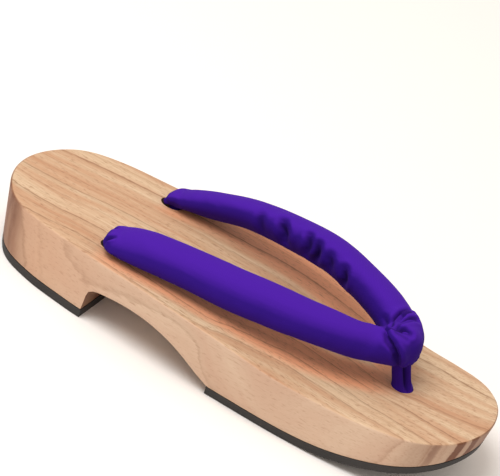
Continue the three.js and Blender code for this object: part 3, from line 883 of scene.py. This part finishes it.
def planedPaulownia():
    # Paulownia, planed and sanded but not varnished: pale, with soft brown growth lines,
    # short open pores along the grain, and darker patches where the ends are cut across it
    made, node = newMaterial("planedPaulownia")
    inMm = node("VectorMath", {0: node("TexCoord", out="Object"), "Scale": 1 / mm}, operation="SCALE")
    x, y, z = [node("SeparateXYZ", {0: inMm}, out=axis) for axis in range(3)]
    normal = node("NewGeometry", out="Normal")
    facing, upright = [node("SeparateXYZ", {0: normal}, out=axis) for axis in (0, 2)]
    along = node("MapRange", {"Value": x, "From Min": -boardEnd, "From Max": boardEnd})
    noise = {}
    for name, (density, detail, roughness) in wood["noises"].items():
        place = node("Mapping", {0: inMm, "Scale": density})
        noise[name] = node("TexNoise", {"Vector": place, "Scale": 1.0, "Detail": detail,
                                        "Roughness": roughness})

    # soft steps: what is measured, where the step starts and ends, and its height
    # how far each point is from the middle of the board under the nearest arm, for the painted shade under the
    # strap
    fromArm = []
    for name in ("underNear", "underFar"):
        under = handCurve(node, along, wood[name], wood["underReach"])
        under = node("Math", {0: y, 1: under}, operation="SUBTRACT")
        fromArm.append(node("Math", {0: under}, operation="ABSOLUTE"))
    fromArm = node("Math", {0: fromArm[0], 1: fromArm[1]}, operation="MINIMUM")
    endOn = node("Math", {0: facing}, operation="ABSOLUTE")
    step = {}
    for name, value, start, end, height in (
        ("near", y, -3, -16, 1),
        ("far", y, 6, 24, 1),
        ("endGrain", endOn, 0.12, 0.6, 1),
        # painted shade under the strap's arms: full within 8 mm of an arm's middle, none past 17 mm
        ("paintedStrapShade", fromArm, 17, 8, 0.92),
        ("behindToe", x, 84, 66, 1),
        ("beforeHeel", x, -66, -52, 1),
    ):
        step[name] = node("MapRange", {"Value": value, "From Min": start, "From Max": end, "To Max": height},
                          interpolation_type="SMOOTHSTEP")

    # the growth lines' own measure across the board
    mid, near, far = [handCurve(node, along, wood[name], wood["bowReach"])
                      for name in ("midBow", "nearBow", "farBow")]
    bow = node("Mix", {0: step["near"], 2: mid, 3: near})
    bow = node("Mix", {0: step["far"], 2: bow, 3: far})
    wander = node("MapRange", {"Value": noise["wander"], "To Min": -1.5, "To Max": 1.5})
    tilt = node("Math", {0: z, 1: -0.115, 2: 3.5}, operation="MULTIPLY_ADD")
    straight = node("Math", {0: y, 1: bow}, operation="SUBTRACT")
    shift = node("Math", {0: wander, 1: tilt}, operation="ADD")
    ringPlace = node("Math", {0: straight, 1: shift}, operation="ADD")

    # growth lines, drawn in two ramps because one holds only 32 stops
    reach = wood["lineReach"]
    jitter = node("Math", {0: noise["jitter"], 1: 1.3, 2: -0.65}, operation="MULTIPLY_ADD")
    ragged = node("Math", {0: ringPlace, 1: jitter}, operation="ADD")
    rampPlace = node("MapRange", {"Value": ragged, "From Min": -reach, "From Max": reach})
    tones = []
    for chosen, last in (([row for row in wood["lines"] if row[0] < -4], -reach),
                         ([row for row in wood["lines"] if row[0] > -4], -7)):
        stops = [(last, 0.0)]
        for line, strength in chosen:
            stops += [(last + (line - last) * 0.5, 0.05 * strength), (line - 0.8, 0.28 * strength),
                      (line - 0.1, strength), (line + 0.25, 0.0)]
            last = line
        tones.append(handTones(node, rampPlace, stops))
    broken = node("MapRange", {"Value": noise["broken"], "From Min": 0.32, "From Max": 0.55, "To Min": 0.5})
    lineTone = node("Math", {0: tones[0], 1: tones[1]}, operation="ADD")
    lineTone = node("Math", {0: lineTone, 1: broken}, operation="MULTIPLY")

    # end grain, where the wall is cut across the fibres: darker, in upright patches
    heel, toe = [handTones(node, rampPlace, wood["endTones"][end]) for end in ("heel", "toe")]
    atToe = node("MapRange", {"Value": x, "From Min": -1, "From Max": 1})
    endPatch = node("Mix", {0: atToe, 6: heel, 7: toe}, out=2, data_type="RGBA")
    endCloud = node("MapRange", {"Value": noise["endCloud"], "From Min": 0.35, "From Max": 0.55,
                                 "To Min": 0.7})
    for factor in (endCloud, step["endGrain"], 1.25):
        endPatch = node("Math", {0: endPatch, 1: factor}, operation="MULTIPLY")
    endPatch = node("Math", {0: endPatch, 1: 0.95}, operation="MINIMUM")
    # painted shade: the heel's front wall, inside the arch, is darkened evenly where the arch shades it
    paintedArchShade = node("MapRange", {"Value": facing, "From Min": 0.2, "From Max": 0.7, "To Max": 0.72})
    behind = node("Math", {0: 1.0, 1: atToe}, operation="SUBTRACT")
    paintedArchShade = node("Math", {0: paintedArchShade, 1: behind}, operation="MULTIPLY")
    endPatch = node("Math", {0: endPatch, 1: paintedArchShade}, operation="MAXIMUM")

    # painted light and shade on the wood: the walls are painted paler than the top in place of light falling on
    # them, and the top gets a warm painted shade where the strap lies over it
    onWall = node("MapRange", {"Value": upright, "From Min": 0.9, "From Max": 0.35})
    onTop = node("Math", {0: 1.0, 1: onWall}, operation="SUBTRACT")
    paintedStrapShade = step["paintedStrapShade"]
    for factor in (step["behindToe"], step["beforeHeel"], onTop):
        paintedStrapShade = node("Math", {0: paintedStrapShade, 1: factor}, operation="MULTIPLY")
    # painted light: walls mixed towards the paler side colour
    paintedWallLight = node("Math", {0: onWall, 1: 0.6}, operation="MULTIPLY")
    # painted shade: the walls darken towards the heel
    paintedHeelShade = node("MapRange", {"Value": x, "From Min": -45, "From Max": -85, "To Max": 0.4})
    paintedHeelShade = node("Math", {0: onWall, 1: paintedHeelShade}, operation="MULTIPLY")

    # fibres, pores and slow bands
    fibreTone = node("MapRange", {"Value": noise["fibre"], "From Min": 0.3, "From Max": 0.7})
    pores = node("MapRange", {"Value": noise["pores"], "From Min": 0.57, "From Max": 0.7})
    bandAt = [node("Math", {0: value, 1: density}, operation="MULTIPLY")
              for value, density in ((ringPlace, 0.16), (x, 0.011), (z, 0.02))]
    bands = node("TexNoise", {"Vector": node("CombineXYZ", dict(enumerate(bandAt))), "Scale": 1.0,
                              "Detail": 3.0})
    bands = node("MapRange", {"Value": bands, "From Min": 0.4, "From Max": 0.68, "To Max": 0.85})
    # lines and pores show less on the walls
    lineShare = node("Math", {0: onWall, 1: -0.45, 2: 1.0}, operation="MULTIPLY_ADD")
    lineTone = node("Math", {0: lineTone, 1: lineShare}, operation="MULTIPLY")
    poreShare = node("Math", {0: onWall, 1: -0.35, 2: 0.65}, operation="MULTIPLY_ADD")
    poreTone = node("Math", {0: pores, 1: poreShare}, operation="MULTIPLY")

    colour = linear(wood["middle"])
    for share, tone in ((fibreTone, "pale"), (bands, "rose"), (paintedWallLight, "side"), (paintedHeelShade, "rose"),
                        (paintedStrapShade, "paintedStrapShade"), (endPatch, "endGrain"), (lineTone, "late"), (poreTone, "pore")):
        colour = node("Mix", {0: share, 6: colour, 7: linear(wood[tone])}, out=2, data_type="RGBA")
    relief = node("Math", {0: noise["fibre"], 1: 0.5}, operation="MULTIPLY")
    relief = node("Math", {0: relief, 1: pores}, operation="SUBTRACT")
    bump = node("Bump", {"Height": relief, "Strength": 0.35, "Distance": 0.12 * mm})
    rough = node("MapRange", {"Value": noise["fibre"], "To Min": 0.5, "To Max": 0.66})
    shadeWith(node, {"Base Color": colour, "Roughness": rough, "Normal": bump, "IOR": 1.5,
                     "Specular IOR Level": 0.35})
    return made


def cutRubber():
    # Black rubber sheet, cut to the board's outline: matt, slightly grey, with a fine torn grain at the cut
    made, node = newMaterial("cutRubber")
    place = node("TexCoord", out="Object")
    speck = node("TexNoise", {"Vector": place, "Scale": 900.0, "Detail": 3.0})
    cloud = node("TexNoise", {"Vector": place, "Scale": 60.0, "Detail": 3.0})
    colour = node("Mix", {0: cloud, 6: linear("#1F1D1C"), 7: linear("#302D2C")}, out=2, data_type="RGBA")
    bump = node("Bump", {"Height": speck, "Strength": 0.3, "Distance": 0.1 * mm})
    shadeWith(node, {"Base Color": colour, "Roughness": 0.72, "Normal": bump, "IOR": 1.52})
    return made


def wovenCotton():
    # Plain woven dyed cotton, stretched over stuffing: matt, with a faint bloom at grazing angles
    made, node = newMaterial("wovenCotton")
    threadMm = 0.55  # drawn a little coarser than the real 0.3 mm, so that it shows
    lie = node("Attribute", out="Vector", attribute_name="clothPlace")
    threads = []
    for way in range(2):  # warp, then weft
        turn = node("SeparateXYZ", {0: lie}, out=way)
        turn = node("Math", {0: turn, 1: math.pi / threadMm}, operation="MULTIPLY")
        threads.append(node("Math", {0: turn}, operation="SINE"))
    weave = node("Math", {0: threads[0], 1: threads[1]}, operation="MULTIPLY")
    weaveTone = node("Math", {0: weave, 1: 0.12, 2: 0.12}, operation="MULTIPLY_ADD")
    place = node("TexCoord", out="Object")
    cloud = node("TexNoise", {"Vector": place, "Scale": 90.0, "Detail": 3.0})
    fuzz = node("TexNoise", {"Vector": place, "Scale": 1500.0, "Detail": 2.0})
    # painted light: the upper side is painted a little paler than the flanks, where light falls on it from
    # above
    upright = node("SeparateXYZ", {0: node("NewGeometry", out="Normal")}, out=2)
    paintedTopLight = node("MapRange", {"Value": upright, "From Min": 0.4, "From Max": 0.95, "To Max": 0.9},
                 interpolation_type="SMOOTHSTEP")
    # painted shade: the cloth is darkened in its folds
    paintedFoldShade = node("Attribute", out="Fac", attribute_name="paintedFoldShade")
    paintedFoldShade = node("Math", {0: paintedFoldShade, 1: 0.85}, operation="MULTIPLY")
    colour = linear("#270A70")
    for share, tone in ((cloud, "#2F0D7B"), (paintedTopLight, "#4B1BA4"), (weaveTone, "#2A0F78"), (paintedFoldShade, "#12033C")):
        colour = node("Mix", {0: share, 6: colour, 7: linear(tone)}, out=2, data_type="RGBA")
    height = node("Math", {0: fuzz, 1: 0.8}, operation="MULTIPLY")
    height = node("Math", {0: weave, 1: height}, operation="ADD")
    bump = node("Bump", {"Height": height, "Strength": 0.25, "Distance": 0.1 * mm})
    shadeWith(node, {"Base Color": colour, "Roughness": 0.88, "Normal": bump, "IOR": 1.45,
                     "Specular IOR Level": 0.12, "Sheen Weight": 0.1, "Sheen Roughness": 0.5,
                     "Sheen Tint": linear("#7A50D8")})
    return made


def paintedHoleShade():
    # Wood inside the drilled holes, darkened as painted shade
    made, node = newMaterial("paintedHoleShade")
    holeShadeMottle = node("TexNoise", {"Vector": node("TexCoord", out="Object"), "Scale": 300.0, "Detail": 3.0})
    colour = node("Mix", {0: holeShadeMottle, 6: linear("#1A0E0C"), 7: linear("#4A2A1A")}, out=2, data_type="RGBA")
    shadeWith(node, {"Base Color": colour, "Roughness": 0.9, "IOR": 1.5})
    return made


def finish(piece, material):
    piece.data.materials.clear()
    piece.data.materials.append(material)


def holeFaces(mesh):  # the faces the two slanted plugs and the toe plug left in the board
    rear, front = holes["rear"], holes["front"]
    slant = (rear["top"][0] - rear["foot"][0]) / (rear["top"][1] - rear["foot"][1])
    found = []
    for face in mesh.polygons:
        x, y, z = [value / mm for value in face.center]
        axis = rear["top"][0] + slant * (z - rear["top"][1])
        atRear = math.hypot(x - axis, abs(y) - rear["y"]) < rear["radius"] + 1.4
        atToe = math.hypot(x - front["x"], y - front["y"]) < front["radius"] + 0.6
        if (atRear or atToe) and abs(face.normal.z) < 0.86:
            found.append(face)
    return found


finish(woodenBoard, planedPaulownia())
# painted shade inside the holes
woodenBoard.data.materials.append(paintedHoleShade())
for face in holeFaces(woodenBoard.data):
    face.material_index = 1
rubber = cutRubber()
for tread in treadPieces:
    finish(tread, rubber)
cotton = wovenCotton()
finish(paddedStrap, cotton)
finish(toeLoop, cotton)
for rearCord in rearCords:
    finish(rearCord, cotton)


# Floor, light and camera
print("geta: setting up the studio")
studio = {
    "floor": "#FBFAF8",
    "sky": "#FFF1E6",
    "skyStrength": 0.74,
    # name, place, aimed at, size, watts, colour
    "lights": [
        ("key", (-0.4, -0.52, 1.28), (0, 0, 0.03), 1.0, 14, "#FFFFFF"),
        ("front", (-0.2, -1.5, 0.35), (0, 0, 0.03), 0.8, 0.6, "#FFFFFF"),
    ],
}

floorMesh = bpy.data.meshes.new("studioFloor")
floorMesh.from_pydata([(-4, -4, 0), (4, -4, 0), (4, 4, 0), (-4, 4, 0)], [], [(0, 1, 2, 3)])
studioFloor = bpy.data.objects.new("studioFloor", floorMesh)
scene.collection.objects.link(studioFloor)
floorPaint, floorNode = newMaterial("paintedFloor")
shadeWith(floorNode, {"Base Color": linear(studio["floor"]), "Roughness": 0.9,
                      "Specular IOR Level": 0.1})
finish(studioFloor, floorPaint)

world = bpy.data.worlds.new("studio")
scene.world = world
world.use_nodes = True
sky = world.node_tree.nodes["Background"]
sky.inputs["Color"].default_value = linear(studio["sky"])
sky.inputs["Strength"].default_value = studio["skyStrength"]

for name, place, target, size, watts, colour in studio["lights"]:
    lamp = bpy.data.lights.new(name, "AREA")
    lamp.shape = "DISK"
    lamp.size = size
    lamp.energy = watts
    lamp.color = linear(colour)[:3]
    lampObject = bpy.data.objects.new(name, lamp)
    lampObject.location = place
    lampObject.rotation_euler = (Vector(target) - Vector(place)).to_track_quat("-Z", "Y").to_euler()
    scene.collection.objects.link(lampObject)

view = {
    "place": (0.34787, -1.24672, 0.77909),
    "right": (0.83733, 0.43408, 0.33233),
    "up": (-0.49060, 0.32844, 0.80712),
    "lens": 241.82,
}
cameraData = bpy.data.cameras.new("camera")
cameraData.sensor_width = 36
cameraData.sensor_fit = "HORIZONTAL"
cameraData.lens = view["lens"]
camera = bpy.data.objects.new("camera", cameraData)
right, up = Vector(view["right"]), Vector(view["up"])
turned = Matrix((right, up, right.cross(up))).transposed().to_4x4()
camera.matrix_world = Matrix.Translation(view["place"]) @ turned
scene.collection.objects.link(camera)
scene.camera = camera
scene.view_settings.view_transform = "Standard"

print("geta: done")
